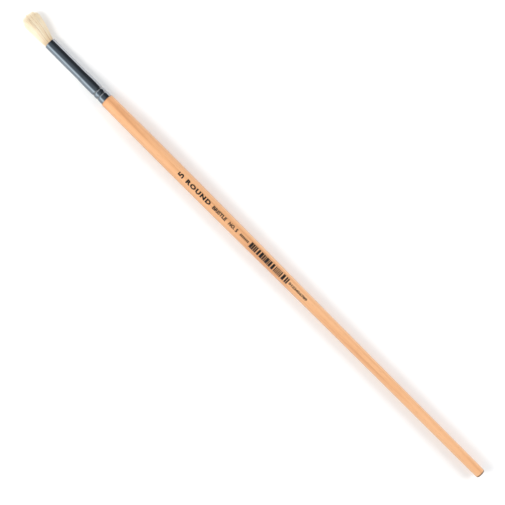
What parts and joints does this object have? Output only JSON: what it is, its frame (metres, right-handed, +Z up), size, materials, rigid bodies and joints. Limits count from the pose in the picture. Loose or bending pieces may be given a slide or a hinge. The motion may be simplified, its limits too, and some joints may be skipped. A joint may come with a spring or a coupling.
{
  "type": "paint brush",
  "caption": "Long-handled round artist's paint brush: clear-lacquered turned wood handle, crimped nickel-plated ferrule and a splayed head of cream hog bristle.",
  "frame": {"origin": "centre of the flat on the butt end of the handle", "axes": "+X along the brush from the butt to the bristle tip; +Z up, with the brush lying on its side; Y across it"},
  "size_m": [0.317, 0.0096, 0.0098],
  "materials": {
    "lacquered_wood": "gloss",
    "nickel_plate": "polished",
    "glue": "gloss",
    "resin": "gloss",
    "bristle": "satin",
    "thread": "matte",
    "ink": "matte"
  },
  "bodies": {
    "shaft": {"handle": "lacquered_wood", "ferrule": "nickel_plate", "tenon_glue": "glue", "epoxy_plug": "resin", "bristle_roots": "bristle", "binding_thread": "thread"},
    "bristle_head": {"bristle_lock_core": "bristle", "bristle_lock_inner_01": "bristle", "bristle_lock_inner_02": "bristle", "bristle_lock_inner_03": "bristle", "bristle_lock_inner_04": "bristle", "bristle_lock_inner_05": "bristle", "bristle_lock_inner_06": "bristle", "bristle_lock_outer_01": "bristle", "bristle_lock_outer_02": "bristle", "bristle_lock_outer_03": "bristle", "bristle_lock_outer_04": "bristle", "bristle_lock_outer_05": "bristle", "bristle_lock_outer_06": "bristle", "bristle_lock_outer_07": "bristle", "bristle_lock_outer_08": "bristle", "bristle_lock_outer_09": "bristle", "bristle_lock_outer_10": "bristle", "bristle_lock_outer_11": "bristle", "bristle_lock_outer_12": "bristle"}
  },
  "joints": [
    {"name": "bristle_flex", "type": "hinge", "parent": "shaft", "child": "bristle_head", "pos_m": [0.299, 0, 0], "axis": [0, 0, 1], "range_deg": [-30, 30], "stiffness_Nm_per_rad": 0.002}
  ]
}
